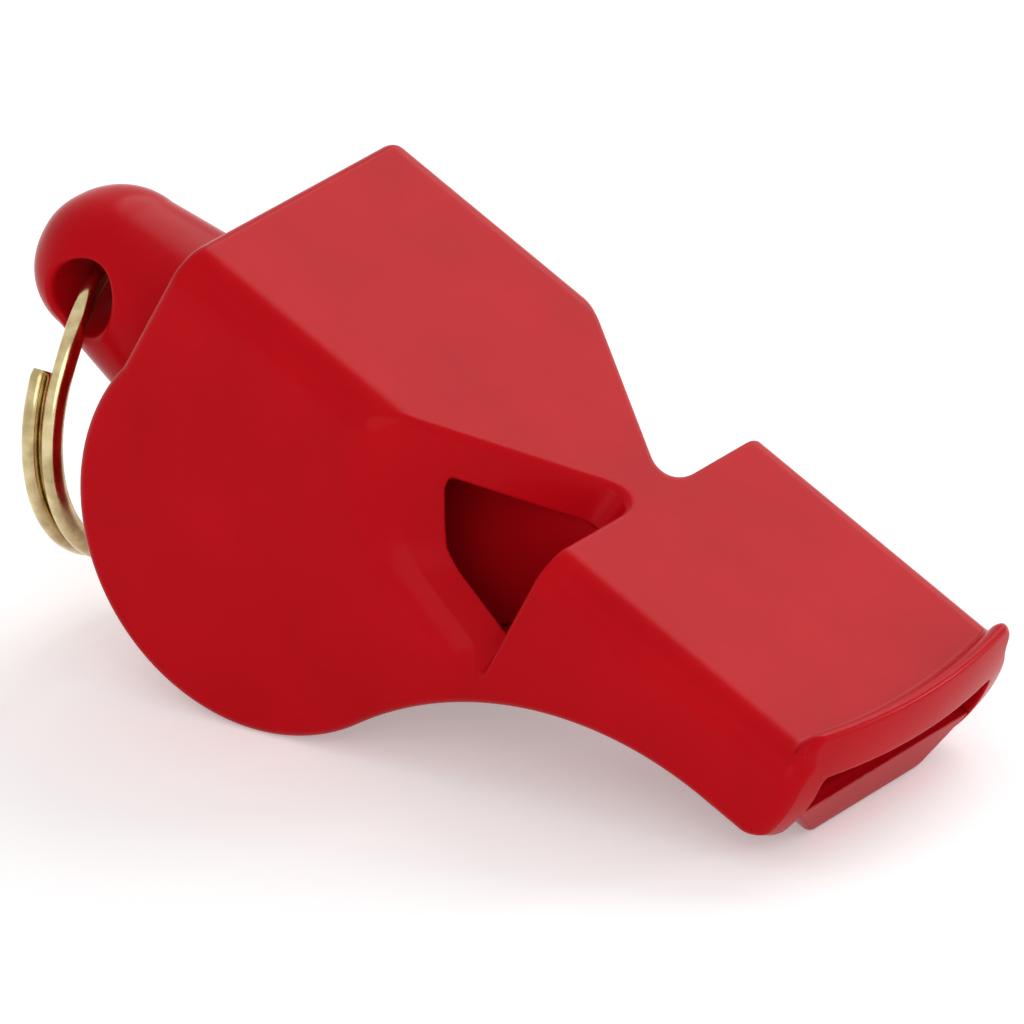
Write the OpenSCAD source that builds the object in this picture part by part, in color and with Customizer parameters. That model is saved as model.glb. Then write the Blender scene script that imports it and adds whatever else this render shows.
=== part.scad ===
// Pealess sports whistle with three air chambers, a lanyard lug and a split ring.
// It lies as it rests on a table: on the round belly and the lower ridge of the mouthpiece.
// The whistle is drawn with its flat top level and its rear top edge on the origin, +X to the mouth,
// and seat() then tips it into its resting place.

/* [Body] */
// Width of the body and of the mouthpiece
body_w = 22.2; // [18:0.1:26]
// Length of the body at its sides, from the rear wall to the front face of the mouthpiece
top_l = 45.65; // [42:0.05:54]
// Radius of the round belly
belly_r = 11.85; // [11:0.05:13]
// Distance of the belly's centre from the rear top edge
belly_x = 11.45; // [10.8:0.05:12]
// Depth of the belly's centre under the flat top
belly_depth = 11.5; // [9.5:0.1:12.5]
// Height of the mouthpiece's side walls at the front
mouth_h = 6.1; // [5:0.1:7]
// Radius of the hollow underside between belly and mouthpiece
neck_r = 22.5; // [18:0.5:30]
// Lean of the rear wall
rear_draft = 0.4; // [0:0.1:3]
// Rounding of the long top edges of the body
top_edge_r = 2.1; // [0.8:0.1:2.6]
// Rounding of the long top edges of the mouthpiece
mouth_edge_r = 2.0; // [0.5:0.1:2.4]
// Rounding of the belly's rims
rim_r = 0.7; // [0.3:0.1:1]
// Rounding of the upright corners at the front of the mouthpiece
front_edge_r = 1.0; // [0.4:0.1:1.2]
// How far the front face stands further forward at its middle than at its sides
front_bow = 1.2; // [0.6:0.1:1.6]
// Radius in the side view at which the front face draws back downwards
front_r = 30; // [18:1:60]

/* [Walls] */
// Thickness of the flat top
top_t = 1.5; // [1:0.1:2]
// Thickness of the rear wall and of the belly
wall_t = 1.6; // [1.2:0.1:2.2]
// Thickness of the side walls
side_t = 2.57; // [2:0.1:3]
// Thickness of the two partitions
partition_t = 1.0; // [0.8:0.1:1.3]
// Width of the centre chamber and its windway
centre_w = 3.8; // [3:0.1:4.4]
// Thickness of the walls between windways, notches and hollows
web_t = 1.2; // [0.8:0.1:1.6]

/* [Notches] */
// Where the ramp leaves the side, from the rear wall
notch_start = 13.45; // [13:0.05:16]
// Where the upright front wall of the notch is, from the rear wall
notch_end = 26.9; // [25:0.1:28]
// Angle of the ramp in plan
ramp_angle = 34.3; // [32:0.1:38]
// Lean of the notch about the long axis
notch_lean = 27; // [18:0.5:29]
// Rounding of the notch's inner corner
notch_corner_r = 2.2; // [1:0.05:2.4]
// Fall of the notch's floor towards the mouthpiece
floor_fall = 16.5; // [12:0.5:20]
// Fall of the notch's floor towards the side
floor_lean = 36; // [30:0.5:40]
// Depth of the floor at the foot of the ramp's edge
floor_depth = 5.9; // [5:0.1:6.5]
// Distance of the foot of the ramp's edge from the rear wall
floor_start = 20.9; // [20:0.1:22]

/* [Mouthpiece] */
// Height of the bite lip over the flat top
lip_rise = 1.3; // [0.6:0.05:1.6]
// Radius of the bite lip's bead
lip_r = 0.9; // [0.6:0.05:1.1]
// Length of the bite lip along the top
lip_l = 2.2; // [1.8:0.1:3]
// Length of the mouth slot before it divides into three windways
plenum_l = 8.1; // [6:0.1:10]
// Width of each side windway
side_way_w = 0.8; // [0.6:0.05:1]
// Height of the side windways where they blow on the ramps
side_way_h = 4.4; // [3.6:0.1:4.8]
// Height of the centre windway over the closure
centre_way_h = 0.9; // [0.7:0.05:1.2]

/* [Closure] */
// Thickness of the closure
closure_t = 1.5; // [1.2:0.1:2]
// How far the closure lies behind the rims of the side walls
closure_inset = 0.45; // [0.2:0.05:0.8]
// Angle on the belly at which the closure ends, from the horizontal at the rear
closure_end_angle = 38; // [34:1:50]
// Length of the lower window, from the centre windway to the edge of the lower ramp
window_l = 4.65; // [4:0.05:5.4]
// Depth of the lower ramp's edge
lower_edge_depth = 12.1; // [11.5:0.1:12.6]
// Slope of the lower ramp
lower_ramp_angle = 53; // [48:1:58]
// Angle of the lower ramp's sharp edge
edge_angle = 22; // [15:1:30]
// How far the bite ridge stands under the closure
ridge_drop = 1.9; // [0.6:0.1:2.2]
// Length of the bite ridge along the mouthpiece
ridge_l = 1.8; // [1.2:0.1:2.4]
// Width of the bite ridge
ridge_w = 14.6; // [10:0.1:15]
// How far the middle of the bite ridge lies behind the front of the closure
ridge_back = 0.65; // [0.5:0.05:1.2]
// Length of the slope at each end of the bite ridge
ridge_slope = 2.5; // [1:0.1:3]
// Gap between the closure and the body
closure_gap = 0.05; // [0.03:0.01:0.1]

/* [Lug] */
// Length of the lug behind the rear wall
lug_l = 11.7; // [10:0.1:14]
// Height of the lug at the rear wall
lug_root_h = 10.3; // [9:0.1:12]
// Height of the lug where its round end starts
lug_end_h = 8.2; // [7:0.1:9]
// Width of the lug as a share of its height
lug_width_share = 1.18; // [1:0.02:1.25]
// Length of the lug's round end
lug_nose = 4.4; // [3:0.05:4.8]
// Diameter of the hole in the lug
hole_d = 4.3; // [4:0.1:4.8]
// Distance of the hole from the rear wall
hole_back = 6.35; // [6:0.05:7]
// Rounding of the hole's rims
hole_rim_r = 0.5; // [0.3:0.05:0.8]

/* [Split ring] */
// Diameter of the ring's wire
wire_d = 1.2; // [1:0.05:1.4]
// Outer diameter of the ring
ring_od = 18.3; // [16:0.1:20]
// Distance between the middles of its two turns
turn_pitch = 1.64; // [1.55:0.01:1.8]
// Angle left between the ring's two ends, seen from its middle
end_gap_angle = 70; // [50:5:90]
// How far the wire rises over the hole's axis where the ring hangs
ring_lift = 1.1; // [0.6:0.05:1.2]
// Turn of the ring in its own plane, from the place where the crossing of its turns is in the hole
ring_turn = 27; // [0:1:30]

/* [Hidden] */
$fn = 72;
body_red = [0.76, 0.06, 0.09];
closure_red = [0.70, 0.05, 0.08];
brass_gold = [0.80, 0.70, 0.42];
// Overrun of all cuts
over = 1;
// Reach of the blocks that stand for half-spaces
reach = 2 * top_l;
// Overlap that joins the hollow underside to the belly
neck_bite = 0.04;
// How far the rims' rounding stands over the faces it joins, so that it crosses them
rim_bite = 0.03;
// Least overlap that joins the front end to the body
lip_bite = 0.1;
// Sides of the ring's wire and rings of points in a turn
wire_sides = 6;
turn_steps = 24;
// Slices of the lug's round end, up to this angle
nose_steps = 6;
nose_last = 84;
// Thickness of a slice
sliver = 0.01;
// Corner share of the lug's section: 2 is an ellipse and more is squarer
lug_square_share = 2.3;
lug_sides = 40;
half_w = body_w / 2;
inner_w = body_w - 2 * side_t;
belly = [belly_x, -belly_depth];
neck_z = -(mouth_h + neck_r);
neck_span = belly_r + neck_r - neck_bite;
neck_x = belly_x + sqrt(pow(neck_span, 2) - pow(neck_z + belly_depth, 2));
neck = [neck_x, neck_z];
// Step across the line from the belly's centre to the neck's, by which the rims' roundings overlap there
rim_lap = neck_bite * [belly.y - neck_z, neck_x - belly_x] / neck_span;
rear_foot = -belly_depth * tan(rear_draft);
closure_skin = closure_inset + closure_t;
slot_floor = -(mouth_h - closure_skin);
plenum_x = top_l - plenum_l;
centre_half = centre_w / 2;
partition_out = centre_half + partition_t;
way_in = inner_w / 2 - side_way_w;
hole = [-hole_back, 0, -belly_depth];
hole_r = hole_d / 2;
lug_flank = lug_width_share / 2 * (lug_root_h - (lug_root_h - lug_end_h) * hole_back / (lug_l - lug_nose));
// Front of the mouthpiece in plan: an arc about bow_x on the middle line
lip_tip = top_l + front_bow;
bow_r = (pow(half_w, 2) + pow(front_bow, 2)) / (2 * front_bow);
bow_x = lip_tip - bow_r;
bead = [lip_tip - lip_r, lip_rise - lip_r];
// Where the front end starts behind the bite lip, so that it bites into the body over its whole width
lip_root = min(lip_tip - lip_l, top_l - lip_r - lip_bite);
// Centre of the rounding of an upright front corner, and its direction from the arc's centre
corner_y = half_w - front_edge_r;
corner_turn = asin(corner_y / (bow_r - front_edge_r));
corner = [bow_x + (bow_r - front_edge_r) * cos(corner_turn), corner_y];
// Lower ramp: its edge, the slope of its face and the far end of its sharp part
ramp_edge = [notch_end - window_l, -lower_edge_depth];
ramp_back = -[cos(lower_ramp_angle), sin(lower_ramp_angle)];
ramp_shoulder = ramp_edge - web_t / sin(edge_angle) * [cos(lower_ramp_angle - edge_angle), sin(lower_ramp_angle - edge_angle)];
wire_r = wire_d / 2;
ring_r = ring_od / 2 - wire_r;
// The ridge's lowest line, and the pitch at which the belly and that line both touch the table
ridge_r = ridge_l / 2;
ridge = [top_l - ridge_back, -(mouth_h - closure_inset + ridge_drop - ridge_r)];
rest_span = norm(ridge - belly);
pitch = atan2(ridge.y - belly.y, ridge.x - belly.x) + asin((belly_r - ridge_r) / rest_span);
// Places along the table, with the rear top edge as zero
function along(x, z) = x * cos(pitch) + z * sin(pitch);
function height(x, z) = z * cos(pitch) - x * sin(pitch);
nose_reach = sqrt(pow(lug_nose * cos(pitch), 2) + pow(lug_end_h / 2 * sin(pitch), 2));
rear_most = along(lug_nose - lug_l, -belly_depth) - nose_reach;
front_most = along(bead.x, bead.y) + lip_r;
middle = (rear_most + front_most) / 2;
ground = height(belly.x, belly.y) - belly_r;
ring_centre = [along(hole.x, hole.z), height(hole.x, hole.z) + ring_lift - ring_r];

// Lays the drawn whistle down as it rests, centred over the origin
module seat() {
  translate([-middle, 0, -ground]) rotate([0, pitch, 0]) children();
}

// Extrudes an outline of the side view to a width w
module slab(w) {
  rotate([90, 0, 0]) linear_extrude(w, center = true) children();
}

// Side view of the belly, rear wall, neck and mouthpiece, drawn in by a skin
module side_view(skin, top, rear, front) {
  difference() {
    union() {
      translate(belly) circle(belly_r - skin);
      polygon([[rear - top * tan(rear_draft), -top], [front, -top], [front, -mouth_h + skin], [neck.x, -mouth_h + skin], neck,
        belly, [rear_foot + rear, belly.y]]);
    }
    translate(neck) circle(neck_r + skin, $fn = 2 * $fn);
    translate([-reach, -top]) square(2 * reach);
    translate([front, -2 * reach]) square(2 * reach);
  }
}

// Keeps both halves alike
module both_sides() {
  for (side = [0, 1]) mirror([0, side, 0]) children();
}

// Bar along X with rounded upper edges
module rounded_bar(x0, x1, top, r) {
  difference() {
    translate([x0, -half_w, -reach]) cube([x1 - x0, body_w, reach + top]);
    both_sides() difference() {
      translate([x0 - over, half_w - r, top - r]) cube([x1 - x0 + 2 * over, r + over, r + over]);
      translate([x0 - 2 * over, half_w - r, top - r]) rotate([0, 90, 0]) cylinder(h = x1 - x0 + 4 * over, r = r);
    }
  }
}

// Outside of the body without lug and notches
module blank() {
  intersection() {
    slab(body_w) side_view(0, -over / 2, 0, top_l - lip_r);
    union() {
      rounded_bar(-belly_r, notch_end, 0, top_edge_r);
      rounded_bar(notch_end, top_l, 0, mouth_edge_r);
    }
  }
}

// Square corner at (x, y) less its rounding, open to dir along x and to +y
module corner_cut(x, y, dir) {
  difference() {
    translate([x + dir * (over - rim_r) / 2, y + (over - rim_r) / 2]) square(over + rim_r, center = true);
    translate([x - dir * (rim_r - rim_bite), y - rim_r + rim_bite]) circle(rim_r, $fn = 32);
  }
}

// Roundings of the side walls' rear edges and lower rims
module rims() {
  both_sides() {
    rotate([0, rear_draft, 0]) translate([0, 0, belly.y]) linear_extrude(reach) corner_cut(0, half_w, -1);
    intersection() {
      translate([belly.x, 0, belly.y]) rotate([-90, 0, 0]) rotate_extrude() corner_cut(belly_r, half_w, 1);
      slab(2 * body_w) polygon([belly + rim_lap, [-reach, belly.y], [-reach, -reach], neck + rim_lap]);
    }
    intersection() {
      translate([neck.x, 0, neck.y]) rotate([-90, 0, 0]) rotate_extrude($fn = 2 * $fn) corner_cut(neck_r, half_w, -1);
      slab(2 * body_w) polygon([neck - rim_lap, belly - rim_lap, [belly.x, 0], [neck.x, 0]]);
    }
    translate([neck.x, 0, 0]) rotate([90, 0, 90]) linear_extrude(top_l) mirror([0, 1, 0])
      corner_cut(half_w, mouth_h, 1);
  }
}

// Side view of the mouthpiece's front end at its middle: the bead of the bite lip, the slope behind it, the wall
// below it and the front face, which draws back downwards
module front_view() {
  translate(bead) circle(lip_r, $fn = 32);
  polygon([[lip_tip - lip_l, 0], [bead.x, lip_rise], [bead.x, -mouth_h], [lip_tip - lip_l, -mouth_h]]);
  translate([lip_root, -mouth_h]) square([bead.x - lip_root, mouth_h]);
  intersection() {
    translate([lip_tip - front_r, bead.y]) circle(front_r, $fn = 2 * $fn);
    translate([bead.x, -mouth_h]) square([lip_r + over, mouth_h + bead.y]);
  }
}

// All that stands outside the rounding of one upright front corner
module front_corner() {
  difference() {
    polygon([corner, corner + 2 * over * [cos(corner_turn), sin(corner_turn)], corner + 2 * over * [1, 1],
      corner + 2 * over * [0, 1]]);
    translate(corner) circle(front_edge_r + rim_bite);
  }
}

// Raised bite lip and the front end of the mouthpiece, swept about an upright axis
module lip() {
  difference() {
    intersection() {
      translate([bow_x, 0, 0]) rotate_extrude($fn = 2 * $fn) translate([-bow_x, 0]) front_view();
      rounded_bar(lip_root - front_bow - over, lip_tip + over, lip_rise, mouth_edge_r);
    }
    both_sides() translate([0, 0, -reach]) linear_extrude(2 * reach) front_corner();
  }
}

// Air in front of one ramp and over the notch's floor. In plan it is a wedge, leaned about the long axis.
module notch() {
  rise = tan(ramp_angle);
  near = notch_end - notch_corner_r;
  mid = [near, (near - notch_start) * rise - notch_corner_r / cos(ramp_angle)];
  foot = mid + notch_corner_r * [-sin(ramp_angle), cos(ramp_angle)];
  intersection() {
    translate([0, -half_w, 0]) rotate([-notch_lean, 0, 0]) translate([0, 0, -reach]) linear_extrude(2 * reach) {
      polygon([[notch_start - reach / rise, -reach], foot, mid, [notch_end, mid.y], [notch_end, -reach]]);
      translate(mid) circle(notch_corner_r);
    }
    translate([floor_start, -inner_w / 2, -floor_depth]) rotate([0, floor_fall, 0]) rotate([floor_lean, 0, 0])
      translate([-reach, -reach, 0]) cube(2 * reach);
  }
}

// Hollow of one side chamber
module side_chamber() {
  translate([0, -(inner_w / 2 + partition_out) / 2, 0]) slab(inner_w / 2 - partition_out)
    side_view(wall_t, top_t, wall_t, notch_end);
}

// Three windways and the hollows between them, open to below
module windways() {
  translate([plenum_x, -inner_w / 2, -mouth_h]) cube([plenum_l + front_bow + over, inner_w, mouth_h - top_t]);
  slab(centre_w) intersection() {
    translate(neck) circle(neck_r + closure_skin + centre_way_h, $fn = 2 * $fn);
    translate([notch_end - over, neck.y]) square([plenum_x - notch_end + 2 * over, neck_r + mouth_h]);
  }
  both_sides() {
    translate([notch_end + web_t, way_in, -reach]) cube([plenum_x - notch_end - web_t + over, side_way_w, reach - top_t]);
    translate([notch_end - over, way_in, -top_t - side_way_h]) cube([web_t + 2 * over, side_way_w, side_way_h]);
    translate([notch_end + web_t, partition_out, -reach])
      cube([plenum_x - notch_end - 2 * web_t, way_in - web_t - partition_out, reach - top_t]);
  }
}

// Side view of all that lies under the chambers and windways, moved down and forward by a gap, less the depth
// that a skin leaves: this is where the closure goes
module under_view(skin, gap) {
  difference() {
    translate([gap, -gap]) polygon([belly, belly - reach * [cos(closure_end_angle), sin(closure_end_angle)],
      [-reach, -2 * reach], [2 * reach, -2 * reach], [2 * reach, slot_floor], [plenum_x, slot_floor]]);
    side_view(skin, top_t, wall_t, top_l + reach);
  }
}

// Section of the lug, h high
module lug_section(h) {
  polygon([for (i = [0:lug_sides - 1]) let (a = 360 * i / lug_sides, p = 2 / lug_square_share)
    h / 2 * [lug_width_share * sign(cos(a)) * pow(abs(cos(a)), p), sign(sin(a)) * pow(abs(sin(a)), p)]]);
}

module lug_slice(x, h) {
  translate([x, 0, -belly_depth]) rotate([90, 0, 90]) linear_extrude(sliver) lug_section(h);
}

// Tapered lug with a round end
module lug() {
  hull() {
    lug_slice(wall_t, lug_root_h + (lug_root_h - lug_end_h) * wall_t / (lug_l - lug_nose));
    lug_slice(-lug_l + lug_nose, lug_end_h);
    for (i = [1:nose_steps]) let (a = nose_last * i / nose_steps)
      lug_slice(-lug_l + lug_nose - lug_nose * sin(a), lug_end_h * cos(a));
  }
}

// Hole across the lug with rounded rims
module lug_hole() {
  translate(hole) rotate([90, 0, 0]) {
    cylinder(h = body_w, r = hole_r, center = true);
    for (side = [0, 1]) mirror([0, 0, side]) rotate_extrude() difference() {
      translate([0, lug_flank - hole_rim_r]) square([hole_r + hole_rim_r, hole_rim_r + over]);
      translate([hole_r + hole_rim_r, lug_flank - hole_rim_r]) circle(hole_rim_r, $fn = 32);
      translate([hole_r, lug_flank - hole_rim_r - over]) square([reach, over]);
    }
  }
}

module main_body() {
  color(body_red) seat() difference() {
    union() {
      difference() {
        union() {
          blank();
          lip();
        }
        both_sides() notch();
        rims();
      }
      lug();
    }
    both_sides() side_chamber();
    slab(centre_w) side_view(wall_t, top_t, wall_t, notch_end);
    windways();
    slab(inner_w) under_view(closure_skin, 0);
    lug_hole();
  }
}

// Ridge under the front of the closure, with sloping ends
module bite_ridge() {
  low = ridge.y - ridge_r;
  flat = ridge_w / 2 - ridge_slope;
  top = slot_floor - closure_gap;
  intersection() {
    slab(ridge_w) union() {
      translate(ridge) circle(ridge_r);
      translate([ridge.x - ridge_r, ridge.y]) square([ridge_l, top - ridge.y]);
    }
    rotate([90, 0, 90]) linear_extrude(lip_tip)
      polygon([[-flat, low], [flat, low], [ridge_w / 2, -mouth_h + closure_inset], [ridge_w / 2, 0],
        [-ridge_w / 2, 0], [-ridge_w / 2, -mouth_h + closure_inset]]);
  }
}

// Side view of the lower ramp that ends in the edge of the centre chamber
module lower_ramp() {
  intersection() {
    polygon([ramp_edge, ramp_edge + ramp_back * reach, ramp_shoulder + ramp_back * reach, ramp_shoulder]);
    side_view(closure_inset, top_t, wall_t, top_l);
  }
}

// Side view of the air in front of the lower ramp
module lower_window() {
  polygon([ramp_edge, ramp_edge + ramp_back * reach, [notch_end, -2 * reach], [notch_end, -mouth_h]]);
}

// Side view of a rib that is the floor of a side windway
module way_floor() {
  start = notch_end + web_t + closure_gap;
  intersection() {
    polygon([[start, -top_t - side_way_h], [neck.x, slot_floor - closure_gap], [neck.x, -reach], [start, -reach]]);
    side_view(closure_inset, top_t, wall_t, top_l);
  }
}

module lower_closure() {
  color(closure_red) seat() {
    difference() {
      slab(inner_w - 2 * closure_gap) intersection() {
        side_view(closure_inset, top_t, wall_t, top_l);
        under_view(closure_skin - closure_gap, closure_gap);
      }
      slab(centre_w) lower_window();
    }
    slab(centre_w - 2 * closure_gap) lower_ramp();
    both_sides() translate([0, way_in + side_way_w / 2, 0]) slab(side_way_w - 2 * closure_gap) way_floor();
    bite_ridge();
  }
}

// Points along the middle of the ring's wire: two turns side by side, which cross over near the lug's hole
wound = 720 - end_gap_angle;
wire_steps = ceil(turn_steps * wound / 360);
function turn_angle(i) = wound * (i / wire_steps - 0.5);
function shift(a) = turn_pitch / 2 * sin(90 * max(-1, min(1, 2 * a / end_gap_angle)));
function outwards(a) = [0, -sin(a + ring_turn), cos(a + ring_turn)];
function wire_point(a) = [ring_centre.x + shift(a), 0, ring_centre.y] + ring_r * outwards(a);
wire_path = [for (i = [0:wire_steps]) wire_point(turn_angle(i))];
function heading(i) = let (p = wire_path[max(0, i - 1)], q = wire_path[min(wire_steps, i + 1)]) (q - p) / norm(q - p);
function wire_ring(i) = let (out = outwards(turn_angle(i)), side = cross(heading(i), out))
  [for (k = [0:wire_sides - 1]) let (b = 360 * k / wire_sides)
    wire_path[i] + wire_r * (out * cos(b) + side * sin(b))];
// The least gap is measured between each point and those near it on the next turn
wire_gap = min([for (a = [-wound / 2:2:wound / 2 - 360]) for (b = [a + 340:1:min(a + 380, wound / 2)])
  norm(wire_point(a) - wire_point(b))]) - wire_d;
echo(str("least gap of the ring's wire to itself, mm: ", wire_gap));

module split_ring() {
  last = wire_steps * wire_sides;
  points = [for (i = [0:wire_steps]) each wire_ring(i)];
  sides = [for (i = [0:wire_steps - 1]) for (k = [0:wire_sides - 1])
    let (a = i * wire_sides + k, b = i * wire_sides + (k + 1) % wire_sides)
      each [[a, b + wire_sides, b], [a, a + wire_sides, b + wire_sides]]];
  caps = [for (k = [1:wire_sides - 2]) each [[0, k, k + 1], [last, last + k + 1, last + k]]];
  color(brass_gold) translate([-middle, 0, -ground]) polyhedron(points, concat(sides, caps));
}

main_body();
lower_closure();
split_ring();
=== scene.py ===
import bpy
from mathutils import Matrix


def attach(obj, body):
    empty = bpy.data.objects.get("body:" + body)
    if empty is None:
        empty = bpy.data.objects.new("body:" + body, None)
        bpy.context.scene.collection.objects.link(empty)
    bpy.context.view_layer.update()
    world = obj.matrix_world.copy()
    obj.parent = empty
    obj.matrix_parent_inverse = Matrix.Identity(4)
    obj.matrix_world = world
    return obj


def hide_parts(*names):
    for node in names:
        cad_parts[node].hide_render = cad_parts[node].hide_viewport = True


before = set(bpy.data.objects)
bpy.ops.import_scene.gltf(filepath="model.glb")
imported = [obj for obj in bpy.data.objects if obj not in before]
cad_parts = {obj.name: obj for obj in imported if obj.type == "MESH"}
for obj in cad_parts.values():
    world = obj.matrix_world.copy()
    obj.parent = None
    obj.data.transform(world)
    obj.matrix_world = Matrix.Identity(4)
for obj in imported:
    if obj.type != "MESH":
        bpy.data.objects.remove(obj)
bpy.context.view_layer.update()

import math
import bpy
import numpy as np
from mathutils import Matrix, Vector

# The whistle is described in millimetres as it is drawn: flat top level, rear top edge on the origin, +X to
# the mouth. The halves are alike, so the fields take |y|. seat() lays points down as the CAD model does.
HALF_W, TOP_L, MOUTH_H = 11.09, 45.65, 6.1
BELLY, BELLY_R, NECK_R = (11.45, -11.5), 11.85, 22.5
neck_rise = MOUTH_H + NECK_R + BELLY[1]
NECK = (BELLY[0] + math.sqrt((BELLY_R + NECK_R) ** 2 - neck_rise ** 2), -(MOUTH_H + NECK_R))
# Lean of the rear wall, and where it meets the belly's round
DRAFT = math.tan(math.radians(0.4))
FOOT_MID = DRAFT * BELLY[0] + BELLY[1]
FOOT_Z = FOOT_MID + math.sqrt(FOOT_MID ** 2 - BELLY[0] ** 2 - BELLY[1] ** 2 + BELLY_R ** 2)
# Points far outside that lines of the side view run to
ABOVE, AHEAD = 20, 70
# Radii of edges and fillets
TOP_EDGE, MOUTH_EDGE, RIM, FRONT_EDGE, SHARP = 2.1, 2.0, 0.7, 1.0, 0.2
FRONT_CREST, LIP_VALLEY, LUG_FILLET, HOLE_RIM = 0.28, 0.55, 0.4, 0.5
NOTCH_EDGE, NOTCH_BLEND, FLOOR_ROUND = 0.35, 0.9, 0.75
# Hollows: walls, half widths and the radii inside them
TOP_T, WINDOW_TOP, WALL_T, INNER, PARTITION_OUT, CENTRE = 1.5, 2.3, 1.6, 8.53, 2.9, 1.9
ROOF_ROUND, ROOM_ROUND, THICK_ROUND = 0.6, 0.4, 0.9
# Rear edge of the window on the inner wall, and the thick wall behind it
WINDOW_REAR, WINDOW_LEAN, THICK, THICK_FALL = 17.77, 0.525, 1.1, 1.4
# Bite lip, bow of the front in plan and its crown in the side view
BEAD, BEAD_R, BOW = (44.95, 0.35), 0.95, 1.2
BOW_FROM, BOW_FULL, FRONT_R, FRONT_MID = 38, 43, 9.5, -2.55
# Notches with their ramps and floors
NOTCH_START, NOTCH_END, CORNER = 13.45, 26.9, 2.2
RAMP, LEAN = math.radians(34.3), math.radians(27)
FLOOR_START, FLOOR_DEPTH, FALL, FLOOR_LEAN = 20.9, 5.9, math.radians(16.5), math.radians(36)
# Mouth slot with the plenum behind it, and the windways with what they overlap at their ends
PLENUM_X, SLOT_FLOOR, SLOT_SIDE, SLOT_ROUND = 37.55, -4.15, 0.08, 0.4
WAY_IN, WAY_W, WAY_LOW, WAY_H, WAY_FRONT, WAY_BACK = 7.73, 0.8, -5.9, 0.9, 0.5, 0.6
# Closure: its skin behind the rims, its end on the belly, and the lower window with its ramp
INSET, SKIN, END, GAP = 0.45, 1.95, math.radians(38), 0.05
EDGE, EDGE_SLOPE, EDGE_ANGLE = (22.25, -12.1), math.radians(53), math.radians(22)
EDGE_T, END_GAP, CLOSURE_FRONT_EDGE = 1.2, 0.07, 0.3
RIDGE, RIDGE_R, RIDGE_HALF, RIDGE_SLOPE = (45.0, -6.65), 0.9, 7.3, 2.5
RIDGE_RISE, RIDGE_END_ROUND, RIDGE_FILLET = 2.0, 0.35, 0.2
LUG_L, LUG_ROOT, LUG_END, LUG_SHARE, LUG_NOSE, LUG_SQUARE = 11.65, 5.15, 4.1, 1.18, 4.35, 2.3
LUG_BITE, HOLE, HOLE_R = 1.2, (-6.35, -11.5), 2.15
# Split ring: middle radius, half its section across and along, distance of its turns
RING_R, RING_IN, RING_ALONG, RING_PITCH, RING_DROP = 8.47, 0.66, 0.54, 1.3, 7.45
RING_GAP, RING_TURN = 70.0, 27.0

WIRE_STEPS, WIRE_SIDES, WIRE_SQUARE = 520, 20, 0.85

# Place in the row: the whistle rests on its belly and its bite ridge, midway between its ends
span = math.hypot(RIDGE[0] - BELLY[0], RIDGE[1] - BELLY[1])
PITCH = math.atan2(RIDGE[1] - BELLY[1], RIDGE[0] - BELLY[0]) + math.asin((BELLY_R - RIDGE_R) / span)
CP, SP = math.cos(PITCH), math.sin(PITCH)
rear_most = (LUG_NOSE - LUG_L) * CP + BELLY[1] * SP - math.hypot(LUG_NOSE * CP, LUG_END * SP)
LIP_R, LIP_UP = 0.9, 0.4
front_most = (TOP_L + BOW - LIP_R) * CP + LIP_UP * SP + LIP_R
MIDDLE = (rear_most + front_most) / 2
GROUND = BELLY[1] * CP - BELLY[0] * SP - BELLY_R


def turn(v):
    """Direction or point, pitched as the whistle lies."""
    v = np.asarray(v, float)
    return np.stack([v[..., 0] * CP + v[..., 2] * SP, v[..., 1], -v[..., 0] * SP + v[..., 2] * CP], -1)


def seat(p):
    """Points in metres in the frame of the row."""
    return (turn(p) - np.array([MIDDLE, 0, GROUND])) / 1000


# Distance fields: negative inside
def smax(a, b, r):
    """Larger of two fields, with their edge rounded."""
    return np.minimum(np.maximum(a, b), -r) + np.hypot(np.maximum(a + r, 0), np.maximum(b + r, 0))


def smin(a, b, r):
    """Smaller of two fields, with their valley filled."""
    return -smax(-a, -b, r)


def both(*fields):
    """The space that all these fields share."""
    d = fields[0]
    for f in fields[1:]:
        d = np.maximum(d, f)
    return d


def step(lo, hi, v):
    """0 at lo, 1 at hi, smooth between."""
    t = np.clip((v - lo) / (hi - lo), 0, 1)
    return t * t * (3 - 2 * t)


def segment(x, z, a, b):
    """Distance to a straight line between two points of the side view."""
    dx, dz = b[0] - a[0], b[1] - a[1]
    t = np.clip(((x - a[0]) * dx + (z - a[1]) * dz) / (dx * dx + dz * dz), 0, 1)
    return np.hypot(x - a[0] - t * dx, z - a[1] - t * dz)


def beyond(x, z, at, angle):
    """Distance past a line through a point, on the side that faces back and up from its direction."""
    return (x - at[0]) * math.sin(angle) - (z - at[1]) * math.cos(angle)


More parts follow.
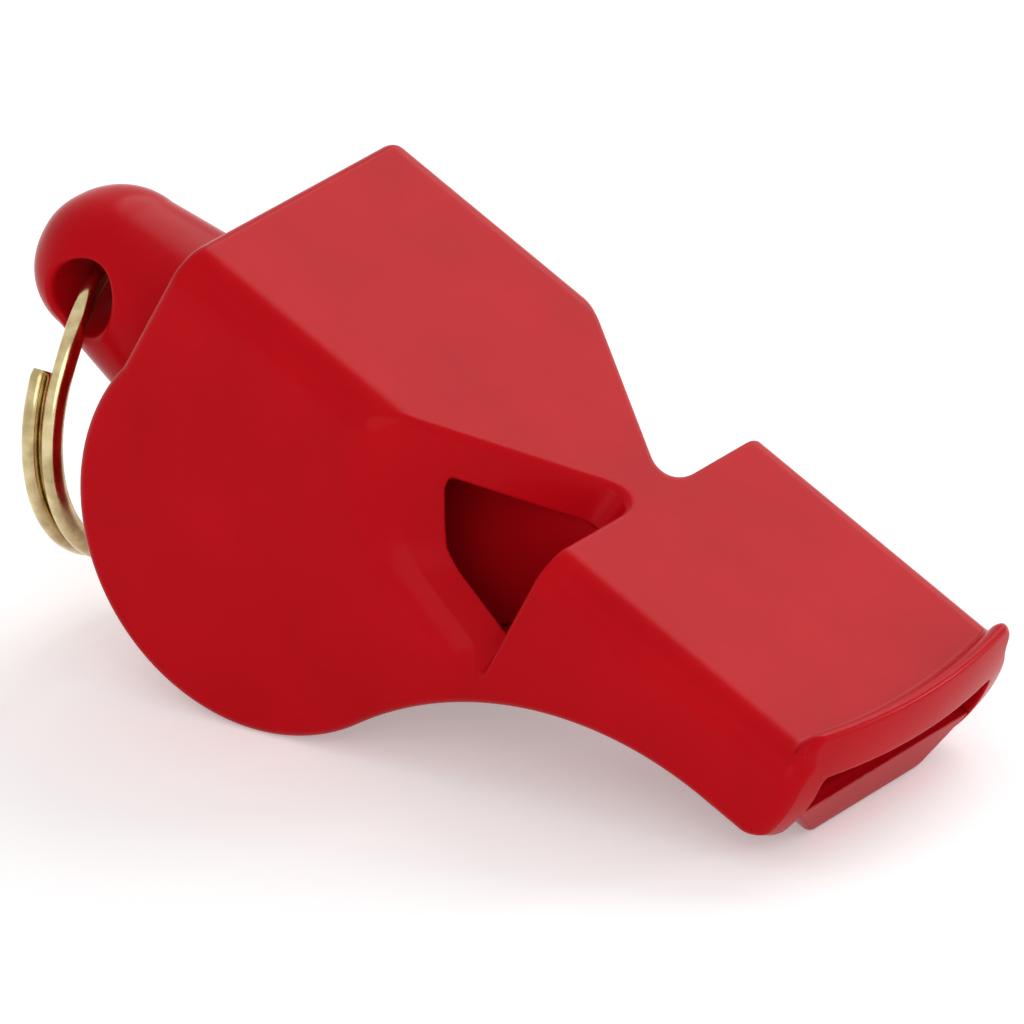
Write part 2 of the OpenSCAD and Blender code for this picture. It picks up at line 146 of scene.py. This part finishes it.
def underside(x, z):
    """Distance to the rear wall, belly, neck and lower front edge, seen from the side."""
    bx, bz = BELLY
    nx, nz = NECK
    rb = np.hypot(x - bx, z - bz)
    rn = np.hypot(x - nx, z - nz)
    foot = (FOOT_Z * DRAFT, FOOT_Z)
    share = BELLY_R / (BELLY_R + NECK_R)
    join = (bx + (nx - bx) * share, bz + (nz - bz) * share)
    above = (nx - bx) * (z - bz) - (nz - bz) * (x - bx) > 0
    on_belly = (z <= FOOT_Z) & ~above
    on_neck = above & (x > bx) & (x < nx)
    rear, lower_front = ((ABOVE * DRAFT, ABOVE), foot), ((nx, -MOUTH_H), (AHEAD, -MOUTH_H))
    d = np.minimum(segment(x, z, *rear), segment(x, z, *lower_front))
    d = np.minimum(d, np.where(on_belly, np.abs(rb - BELLY_R), np.hypot(x - join[0], z - join[1])))
    d = np.minimum(d, np.where(on_neck, np.abs(rn - NECK_R), np.hypot(x - nx, z + MOUTH_H)))
    inside = (rb < BELLY_R) & (z < -1)
    inside |= (x > z * DRAFT) & (z > bz) & (x <= bx)
    inside |= (x > bx) & above & (rn > NECK_R) & (x < nx)
    inside |= (x >= nx) & (z > -MOUTH_H)
    return np.where(inside, -d, d)


def bowed(x, ay):
    """x as it is at the side, without the bow of the front."""
    return x - BOW * (1 - (ay / HALF_W) ** 2) * step(BOW_FROM, BOW_FULL, x)


def front_face(xb, z):
    """Distance to the crowned front, for points near it only."""
    return np.where(xb > BOW_FROM, np.hypot(xb - TOP_L + FRONT_R, z - FRONT_MID) - FRONT_R, -8.0)


def skin_shell(x, ay, z, low):
    """Outside of the body without lug and notches."""
    side = ay - HALF_W
    xb = bowed(x, ay)
    top = smin(z, np.hypot(xb - BEAD[0], z - BEAD[1]) - BEAD_R, LIP_VALLEY)
    edge = TOP_EDGE + (MOUTH_EDGE - TOP_EDGE) * step(NOTCH_END - 0.3, NOTCH_END + 0.3, x)
    out = smax(smax(side, top, edge), low, RIM)
    front_edge = FRONT_CREST + (FRONT_EDGE - FRONT_CREST) * step(-2.0, -0.4, side)
    return smax(out, front_face(xb, z), front_edge)


def lug(x, ay, z):
    """Tapered bar of a squarish round section with a round end."""
    start = LUG_NOSE - LUG_L
    h = LUG_END + (LUG_ROOT - LUG_END) / -start * np.clip(x - start, 0, 9)
    v = np.maximum(np.abs(z - HOLE[1]) / h, 1e-4)
    w = np.maximum(ay / (LUG_SHARE * h), 1e-4)
    g = (v ** LUG_SQUARE + w ** LUG_SQUARE) ** (1 / LUG_SQUARE)
    t = np.maximum(start - x, 0) / LUG_NOSE
    s = np.maximum(np.hypot(g, t), 1e-6)
    c = g / s * g ** (1 - LUG_SQUARE)
    gz, gy = c * v ** (LUG_SQUARE - 1) / h, c * w ** (LUG_SQUARE - 1) / (LUG_SHARE * h)
    gx = t / s / LUG_NOSE
    steepness = np.maximum(np.sqrt(gx * gx + gy * gy + gz * gz), 0.05)
    return both((s - 1) / steepness, x - LUG_BITE)


def notch_air(x, ay, z):
    """Air in front of the ramp and over the floor of a notch."""
    c, s = math.cos(RAMP), math.sin(RAMP)
    ramp = -(s * (x - NOTCH_START) + c * math.cos(LEAN) * (ay - HALF_W) + c * math.sin(LEAN) * z)
    c, s = math.cos(FLOOR_LEAN), math.sin(FLOOR_LEAN)
    floor = c * math.sin(FALL) * (x - FLOOR_START) + s * (ay - INNER)
    floor = floor + c * math.cos(FALL) * (z + FLOOR_DEPTH)
    return smax(smax(ramp, x - NOTCH_END, CORNER), -floor, FLOOR_ROUND)


def side_room(x, ay, z, low):
    """Hollow of a side chamber. Its wall stays thick behind the rear edge of the window."""
    roof = z + WINDOW_TOP
    room = smax(smax(ay - INNER, roof, ROOF_ROUND), low + WALL_T, ROOM_ROUND)
    rear_edge = WINDOW_REAR - WINDOW_LEAN * z
    thick = np.minimum(ay - INNER + THICK, rear_edge - THICK_FALL * (INNER - ay) - x)
    return both(room, PARTITION_OUT - ay, x - NOTCH_END, smax(thick, roof, THICK_ROUND))


def under_line(x, z, drop):
    """Past the line from the belly's centre to the mouth slot's floor, and along that floor."""
    dx, dz = PLENUM_X - BELLY[0], SLOT_FLOOR - BELLY[1]
    line = (dx * (z - BELLY[1]) - dz * (x - BELLY[0])) / math.hypot(dx, dz)
    return np.where(x > PLENUM_X, z - SLOT_FLOOR, line) + drop


def windways(x, ay, z):
    """Mouth slot with the plenum, side windway and centre windway."""
    roof = z + TOP_T
    slot = both(smax(ay - INNER + SLOT_SIDE, roof, SLOT_ROUND), -(z + MOUTH_H + 0.4), PLENUM_X - x)
    along = both(x - PLENUM_X - WAY_FRONT, NOTCH_END - WAY_BACK - x)
    side = both(np.abs(ay - WAY_IN - WAY_W / 2) - WAY_W / 2, roof, along, WAY_LOW - z)
    arc = np.hypot(x - NECK[0], z - NECK[1]) - NECK_R - SKIN - WAY_H
    return slot, side, both(ay - CENTRE, arc, along)


def body_field(x, y, z):
    """Main moulding. The notch blends softly into the side face, and sharply into the top."""
    ay = np.abs(y)
    low = underside(x, z)
    out = smin(skin_shell(x, ay, z, low), lug(x, ay, z), LUG_FILLET)
    soft = step(8.4, 10.6, ay) * step(-1.2, -3.2, z) * step(NOTCH_END - 0.4, NOTCH_END - 2, x)
    out = smax(out, -notch_air(x, ay, z), NOTCH_EDGE + NOTCH_BLEND * soft)
    out = smax(out, -side_room(x, ay, z, low), SHARP)
    out = smax(out, -both(ay - CENTRE, z + TOP_T, low + WALL_T, x - NOTCH_END), SHARP)
    for way in windways(x, ay, z):
        out = smax(out, -way, SHARP)
    seat_air = both(ay - INNER, -(low + SKIN), -beyond(x, z, BELLY, END), under_line(x, z, 0))
    out = smax(out, -seat_air, SHARP)
    return smax(out, HOLE_R - np.hypot(x - HOLE[0], z - HOLE[1]), HOLE_RIM)


def closure_field(x, y, z):
    """Lower moulding: skin between the rims, centre window with its edge, and bite ridge."""
    ay = np.abs(y)
    low = underside(x, z)
    out = both(smax(low + INSET, GAP - low - SKIN, SHARP), under_line(x, z, GAP))
    out = smax(smax(out, ay - INNER + GAP, SHARP), END_GAP - beyond(x, z, BELLY, END), SHARP)
    out = smax(out, front_face(x + GAP, z), CLOSURE_FRONT_EDGE)
    face, back = beyond(x, z, EDGE, EDGE_SLOPE), beyond(x, z, EDGE, EDGE_SLOPE - EDGE_ANGLE)
    out = smax(out, -both(-face, x - NOTCH_END, ay - CENTRE), SHARP)
    out = np.minimum(out, both(face, -(face + EDGE_T), -back, ay - CENTRE + GAP, low + INSET))
    bar = both(np.abs(x - RIDGE[0]) - RIDGE_R, RIDGE[1] - z, z - SLOT_FLOOR + GAP, ay - INNER + GAP)
    ridge = np.minimum(np.hypot(x - RIDGE[0], z - RIDGE[1]) - RIDGE_R, bar)
    slope = (ay - RIDGE_HALF) * RIDGE_RISE - RIDGE_SLOPE * (z + MOUTH_H - INSET)
    slope = slope / math.hypot(RIDGE_RISE, RIDGE_SLOPE)
    return smin(out, smax(ridge, slope, RIDGE_END_ROUND), RIDGE_FILLET)


# Meshes of the fields
BLOCK = 8


def sampled(field, ax, cell):
    """Field on the grid. Blocks of cells far from the surface keep the value at their middle."""
    d = np.empty([len(a) for a in ax], np.float32)
    mids = [np.array([a[i:i + BLOCK].mean() for i in range(0, len(a), BLOCK)]) for a in ax]
    far = field(*np.meshgrid(*mids, indexing="ij"))
    reach = BLOCK * cell * 1.35
    for i, j, k in np.ndindex(far.shape):
        part = tuple(slice(n * BLOCK, (n + 1) * BLOCK) for n in (i, j, k))
        if abs(far[i, j, k]) > reach:
            d[part] = far[i, j, k]
        else:
            d[part] = field(*np.meshgrid(*[a[s] for a, s in zip(ax, part)], indexing="ij"))
    return d


def crossings(d, I, J, K):
    """Middle of the places where the edges of each cell cross the surface, in cells."""
    total, count = np.zeros((len(I), 3)), np.zeros(len(I))
    for a in [(i, j, k) for i in (0, 1) for j in (0, 1) for k in (0, 1)]:
        for axis in range(3):
            if a[axis]:
                continue
            b = list(a)
            b[axis] = 1
            va = d[I + a[0], J + a[1], K + a[2]].astype(float)
            vb = d[I + b[0], J + b[1], K + b[2]].astype(float)
            cross = (va < 0) != (vb < 0)
            p = np.stack([I + a[0], J + a[1], K + a[2]], -1).astype(float)
            p[:, axis] += np.where(cross, va / np.where(cross, va - vb, 1), 0)
            total += np.where(cross[:, None], p, 0)
            count += cross
    return total / count[:, None]


def quads_of(neg, index):
    """Four-sided faces round each edge of the grid that crosses the surface."""
    quads = []
    for axis in range(3):
        u, v = [(1, 2), (2, 0), (0, 1)][axis]
        s0, s1 = [slice(1, -1)] * 3, [slice(1, -1)] * 3
        s0[axis], s1[axis] = slice(0, -1), slice(1, None)
        a, b = neg[tuple(s0)], neg[tuple(s1)]
        off = [1, 1, 1]
        off[axis] = 0
        for flip in (False, True):
            e = np.nonzero((~a & b) if flip else (a & ~b))
            e = [q + o for q, o in zip(e, off)]
            ring = []
            for du, dv in ((-1, -1), (0, -1), (0, 0), (-1, 0)):
                q = [e[0].copy(), e[1].copy(), e[2].copy()]
                q[u] = q[u] + du
                q[v] = q[v] + dv
                ring.append(index[q[0], q[1], q[2]])
            quad = np.stack(ring, -1)
            quads.append(quad[:, ::-1] if flip else quad)
    return np.concatenate(quads)


def net(field, lo, hi, cell):
    """Closed mesh of a field's zero surface, made for y >= 0 and mirrored: one point in each crossed cell."""
    ax = [np.arange(a - cell, b + 2 * cell, cell) for a, b in zip(lo, hi)]
    ax[1] = np.arange(-0.5, hi[1] / cell + 2) * cell
    d = sampled(field, ax, cell)
    neg = d < 0
    nx, ny, nz = d.shape
    c = np.zeros((nx - 1, ny - 1, nz - 1), np.uint8)
    for i, j, k in np.ndindex(2, 2, 2):
        c += neg[i:nx - 1 + i, j:ny - 1 + j, k:nz - 1 + k]
    I, J, K = np.nonzero((c > 0) & (c < 8))
    index = np.full(c.shape, -1, np.int64)
    index[I, J, K] = np.arange(len(I))
    pts = crossings(d, I, J, K) * cell + np.array([a[0] for a in ax])
    pts[J == 0, 1] = 0
    quads = quads_of(neg, index)
    other = np.where(J == 0, np.arange(len(I)), len(I) + np.cumsum(J > 0) - 1)
    flipped = pts[J > 0] * np.array([1, -1, 1])
    return np.concatenate([pts, flipped]), np.concatenate([quads, other[quads][:, ::-1]])


def slope_of(field, p, h=0.015):
    """Gradient of a field at points."""
    g = np.empty_like(p)
    for k in range(3):
        a, b = p.copy(), p.copy()
        a[:, k] += h
        b[:, k] -= h
        g[:, k] = (field(*a.T) - field(*b.T)) / (2 * h)
    return g


def onto(field, p, limit, rounds):
    """Points moved to the surface, by less than the limit a round."""
    for _ in range(rounds):
        g = slope_of(field, p)
        m = (field(*p.T) / np.maximum((g * g).sum(1), 0.2))[:, None] * g
        n = np.linalg.norm(m, axis=1, keepdims=True)
        p = p - m * np.minimum(1, limit / np.maximum(n, 1e-9))
    return p


def thinned(mesh, keep):
    """Mesh with fewer faces where it is flat."""
    obj = bpy.data.objects.new("thin", mesh)
    bpy.context.scene.collection.objects.link(obj)
    obj.modifiers.new("thin", "DECIMATE").ratio = keep
    thin = bpy.data.meshes.new_from_object(obj.evaluated_get(bpy.context.evaluated_depsgraph_get()))
    bpy.data.objects.remove(obj)
    bpy.data.meshes.remove(mesh)
    return thin


def dressed(name, mesh, node, body, look):
    """Object that stands for a node of the CAD model."""
    obj = bpy.data.objects.new(name, mesh)
    bpy.context.scene.collection.objects.link(obj)
    mesh.materials.clear()
    mesh.materials.append(look)
    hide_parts(node)
    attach(obj, body)


def solid(name, field, lo, hi):
    """Mesh of a field with the field's own normals, seated in the row."""
    pts, quads = net(field, lo, hi, CELL)
    mesh = bpy.data.meshes.new(name)
    mesh.from_pydata(onto(field, pts, CELL / 2, 3).tolist(), [], quads.tolist())
    mesh = thinned(mesh, KEPT_FACES)
    p = np.empty(len(mesh.vertices) * 3)
    mesh.vertices.foreach_get("co", p)
    p = onto(field, p.reshape(-1, 3), CELL / 2, 2)
    n = slope_of(field, p)
    n /= np.maximum(np.linalg.norm(n, axis=1, keepdims=True), 1e-9)
    mesh.vertices.foreach_set("co", seat(p).ravel())
    mesh.polygons.foreach_set("use_smooth", [True] * len(mesh.polygons))
    mesh.update()
    mesh.normals_split_custom_set_from_vertices(turn(n).tolist())
    print(name, len(pts), "points,", len(mesh.polygons), "faces kept")
    return mesh


# Materials
def material(name):
    m = bpy.data.materials.new(name)
    m.use_nodes = True
    return m, m.node_tree.nodes, m.node_tree.links, m.node_tree.nodes["Principled BSDF"]


def noise(nodes, links, vector, scale, detail):
    n = nodes.new("ShaderNodeTexNoise")
    n.inputs["Scale"].default_value = scale
    n.inputs["Detail"].default_value = detail
    links.new(vector, n.inputs["Vector"])
    return n.outputs["Fac"]


def spread(nodes, links, value, low, high, to_low, to_high):
    n = nodes.new("ShaderNodeMapRange")
    for key, v in (("From Min", low), ("From Max", high), ("To Min", to_low), ("To Max", to_high)):
        n.inputs[key].default_value = v
    links.new(value, n.inputs["Value"])
    return n.outputs["Result"]


def tint(nodes, links, value, low, high, dark, light):
    n = nodes.new("ShaderNodeValToRGB")
    n.color_ramp.elements[0].position, n.color_ramp.elements[1].position = low, high
    n.color_ramp.elements[0].color, n.color_ramp.elements[1].color = (*dark, 1), (*light, 1)
    links.new(value, n.inputs["Fac"])
    return n.outputs["Color"]


def placed(nodes, links, vector, scale, turned=(0, 0, 0), moved=(0, 0, 0)):
    n = nodes.new("ShaderNodeMapping")
    n.inputs["Scale"].default_value = scale
    n.inputs["Rotation"].default_value = turned
    n.inputs["Location"].default_value = moved
    links.new(vector, n.inputs["Vector"])
    return n.outputs["Vector"]


def bumped(nodes, links, bsdf, height, strength, distance):
    n = nodes.new("ShaderNodeBump")
    n.inputs["Strength"].default_value = strength
    n.inputs["Distance"].default_value = distance
    links.new(height, n.inputs["Height"])
    links.new(n.outputs["Normal"], bsdf.inputs["Normal"])


def moulded(name, light, dark, seed):
    """Glossy moulded plastic: slight clouds in the colour, handling marks, orange peel and hair scratches."""
    m, nodes, links, bsdf = material(name)
    at = nodes.new("ShaderNodeTexCoord").outputs["Object"]
    mm = placed(nodes, links, at, (1000, 1000, 1000), moved=(seed, 3 * seed, 7 * seed))
    colour = tint(nodes, links, noise(nodes, links, mm, 0.16, 3), 0.3, 0.7, dark, light)
    links.new(colour, bsdf.inputs["Base Color"])
    haze = noise(nodes, links, mm, 0.9, 6)
    links.new(spread(nodes, links, haze, 0.3, 0.75, 0.2, 0.27), bsdf.inputs["Roughness"])
    hair = noise(nodes, links, placed(nodes, links, mm, (0.25, 3.5, 3.5), (0.4, 0.3, 0.5)), 4.0, 4)
    mix = nodes.new("ShaderNodeMath")
    mix.operation = "MULTIPLY_ADD"
    mix.inputs[1].default_value = 0.12
    links.new(hair, mix.inputs[0])
    links.new(noise(nodes, links, mm, 1.4, 2), mix.inputs[2])
    bumped(nodes, links, bsdf, mix.outputs[0], 0.08, 0.00004)
    bsdf.inputs["Specular IOR Level"].default_value = 0.048
    return m


def wire_brass():
    """Bright brass wire with tarnish clouds and fine marks of drawing."""
    m, nodes, links, bsdf = material("ring_brass")
    mm = placed(nodes, links, nodes.new("ShaderNodeTexCoord").outputs["Object"], (1000, 1000, 1000))
    tarnish = noise(nodes, links, mm, 0.8, 5)
    colour = tint(nodes, links, tarnish, 0.35, 0.7, (0.44, 0.34, 0.16), (0.72, 0.60, 0.34))
    links.new(colour, bsdf.inputs["Base Color"])
    drawn = noise(nodes, links, mm, 6, 4)
    links.new(spread(nodes, links, drawn, 0.3, 0.7, 0.1, 0.22), bsdf.inputs["Roughness"])
    bumped(nodes, links, bsdf, drawn, 0.07, 0.00002)
    bsdf.inputs["Metallic"].default_value = 1.0
    return m


# Split ring: flattened wire wound nearly twice round, its turns side by side
def ring_mesh():
    centre = turn(np.array([HOLE[0], 0, HOLE[1]])) - np.array([MIDDLE, 0, GROUND + RING_DROP])
    wound, steps, sides = 720 - RING_GAP, WIRE_STEPS, WIRE_SIDES
    verts, faces = [], []
    for i in range(steps + 1):
        a = wound * (i / steps - 0.5)
        shift = RING_PITCH / 2 * math.sin(math.radians(90 * max(-1, min(1, 2 * a / RING_GAP))))
        t = math.radians(a + RING_TURN)
        out = np.array([0, -math.sin(t), math.cos(t)])
        taper = min(1.0, 0.86 + 0.07 * min(i, steps - i))
        for k in range(sides):
            c, s = math.cos(2 * math.pi * k / sides), math.sin(2 * math.pi * k / sides)
            across = math.copysign(abs(c) ** WIRE_SQUARE, c) * RING_IN * taper
            along = math.copysign(abs(s) ** WIRE_SQUARE, s) * RING_ALONG * taper
            verts.append((centre + (RING_R + across) * out + np.array([shift + along, 0, 0])) / 1000)
    for i in range(steps):
        for k in range(sides):
            a, b = i * sides + k, i * sides + (k + 1) % sides
            faces.append((a, a + sides, b + sides, b))
    faces.append(tuple(range(sides)))
    faces.append(tuple(steps * sides + k for k in reversed(range(sides))))
    mesh = bpy.data.meshes.new("ring_wire")
    mesh.from_pydata([tuple(v) for v in verts], [], faces)
    mesh.polygons.foreach_set("use_smooth", [len(p.vertices) == 4 for p in mesh.polygons])
    mesh.update()
    return mesh


red = moulded("body_plastic", (0.56, 0.0035, 0.009), (0.50, 0.0028, 0.0075), 1.7)
red_low = moulded("closure_plastic", (0.52, 0.0035, 0.009), (0.46, 0.0028, 0.0075), 5.3)
CELL = 0.14
KEPT_FACES = 0.35
CLOSURE_REAR, CLOSURE_TOP = 2.0, -3.6
REAR, LEFT, FRONT = -LUG_L - 0.2, HALF_W + 0.1, TOP_L + BOW + 0.2
LOW = BELLY[1] - BELLY_R - 0.2
body = solid("body_shell", body_field, (REAR, 0, LOW), (FRONT, LEFT, BEAD[1] + BEAD_R + 0.1))
closure = solid("closure_shell", closure_field, (CLOSURE_REAR, 0, LOW), (FRONT, INNER + 0.1, CLOSURE_TOP))
dressed("body_shell", body, "main_body", "whistle", red)
dressed("closure_shell", closure, "lower_closure", "whistle", red_low)
dressed("ring_wire", ring_mesh(), "split_ring", "ring", wire_brass())


# Floor, world and lamps
def seen_directly(nodes, links):
    """1 for camera, glossy and transmission rays."""
    path = nodes.new("ShaderNodeLightPath")
    value = path.outputs["Is Camera Ray"]
    for other in ("Is Glossy Ray", "Is Transmission Ray"):
        n = nodes.new("ShaderNodeMath")
        n.operation = "MAXIMUM"
        links.new(value, n.inputs[0])
        links.new(path.outputs[other], n.inputs[1])
        value = n.outputs[0]
    return value


WORLD_LEVEL, FLOOR_LIFT, FLOOR_HALF = 0.55, 0.3, 3
corners = [(sx * FLOOR_HALF, sy * FLOOR_HALF, 0) for sx, sy in ((-1, -1), (1, -1), (1, 1), (-1, 1))]
floor_mesh = bpy.data.meshes.new("floor")
floor_mesh.from_pydata(corners, [], [(0, 1, 2, 3)])
floor = bpy.data.objects.new("floor", floor_mesh)
bpy.context.scene.collection.objects.link(floor)
paper, nodes, links, bsdf = material("floor")
bsdf.inputs["Base Color"].default_value = (0.95, 0.95, 0.95, 1)
bsdf.inputs["Roughness"].default_value = 0.9
bsdf.inputs["Specular IOR Level"].default_value = 0.0
bsdf.inputs["Emission Color"].default_value = (1, 1, 1, 1)
lift = spread(nodes, links, seen_directly(nodes, links), 0, 1, 0, FLOOR_LIFT)
links.new(lift, bsdf.inputs["Emission Strength"])
floor_mesh.materials.append(paper)

world = bpy.data.worlds.new("studio")
bpy.context.scene.world = world
world.use_nodes = True
nodes, links = world.node_tree.nodes, world.node_tree.links
background = nodes["Background"]
background.inputs["Color"].default_value = (1, 1, 1, 1)
level = spread(nodes, links, seen_directly(nodes, links), 0, 1, WORLD_LEVEL, 1.0)
links.new(level, background.inputs["Strength"])

# Camera: fitted to the photograph, in the frame that the whistle is drawn in
AZ, EL, TILT = 0.578627, 0.386174, 0.486567
SHIFT_RIGHT, SHIFT_UP, AIM = 0.322835, 0.453387, (20.0, 0, -8.0)
level_x = np.array([math.cos(TILT), 0, math.sin(TILT)])
level_z = np.array([-math.sin(TILT), 0, math.cos(TILT)])
aside = np.array([0, 1.0, 0])
ahead = -math.sin(AZ) * math.cos(EL) * level_x + math.cos(AZ) * math.cos(EL) * aside
ahead = ahead - math.sin(EL) * level_z
right = math.cos(AZ) * level_x + math.sin(AZ) * aside
up = np.cross(right, ahead)
DISTANCE, PX_PER_MM, IMAGE = 1100.0, 18.2191942, 1024
eye = np.array(AIM) + SHIFT_RIGHT * right + SHIFT_UP * up - ahead * DISTANCE
lens = bpy.data.cameras.new("camera")
lens.sensor_width = 36.0
lens.lens = 36.0 * PX_PER_MM * DISTANCE / IMAGE
lens.clip_start, lens.clip_end = 0.05, 20
camera = bpy.data.objects.new("camera", lens)
across_row, up_row, ahead_row = turn(right), turn(up), turn(ahead)
place = Matrix([[across_row[i], up_row[i], -ahead_row[i], 0] for i in range(3)] + [[0, 0, 0, 1]])
place.translation = Vector(seat(eye))
camera.matrix_world = place
bpy.context.scene.collection.objects.link(camera)
bpy.context.scene.camera = camera
bpy.context.scene.view_settings.view_transform = "Standard"


def lamp(name, toward, distance, size, power):
    """Round soft lamp that stands in a direction from the whistle and looks at it."""
    aim = Vector((0, 0, 0.013))
    light = bpy.data.lights.new(name, "AREA")
    light.shape = "DISK"
    light.size = size
    light.energy = power
    o = bpy.data.objects.new(name, light)
    o.location = aim + Vector(toward).normalized() * distance
    o.rotation_euler = (aim - o.location).to_track_quat("-Z", "Y").to_euler()
    bpy.context.scene.collection.objects.link(o)


# The key lamp stands where the flat top mirrors it into the camera, so the top is paler than the side
def mirror(normal):
    """Direction from which a lamp shows in a face with this normal."""
    normal = np.array(normal)
    return ahead_row - 2 * float(ahead_row @ normal) * normal


lamp("key", mirror((SP, 0, CP)), 1.0, 0.8, 4.0)
lamp("fill", (0.5, -0.9, 0.5), 1.0, 0.8, 2.5)
lamp("mouth", mirror((CP, 0, -SP)), 0.8, 0.5, 1.9)
lamp("glint", mirror(turn((0.6, 0, 0.8))), 0.9, 0.15, 1.2)
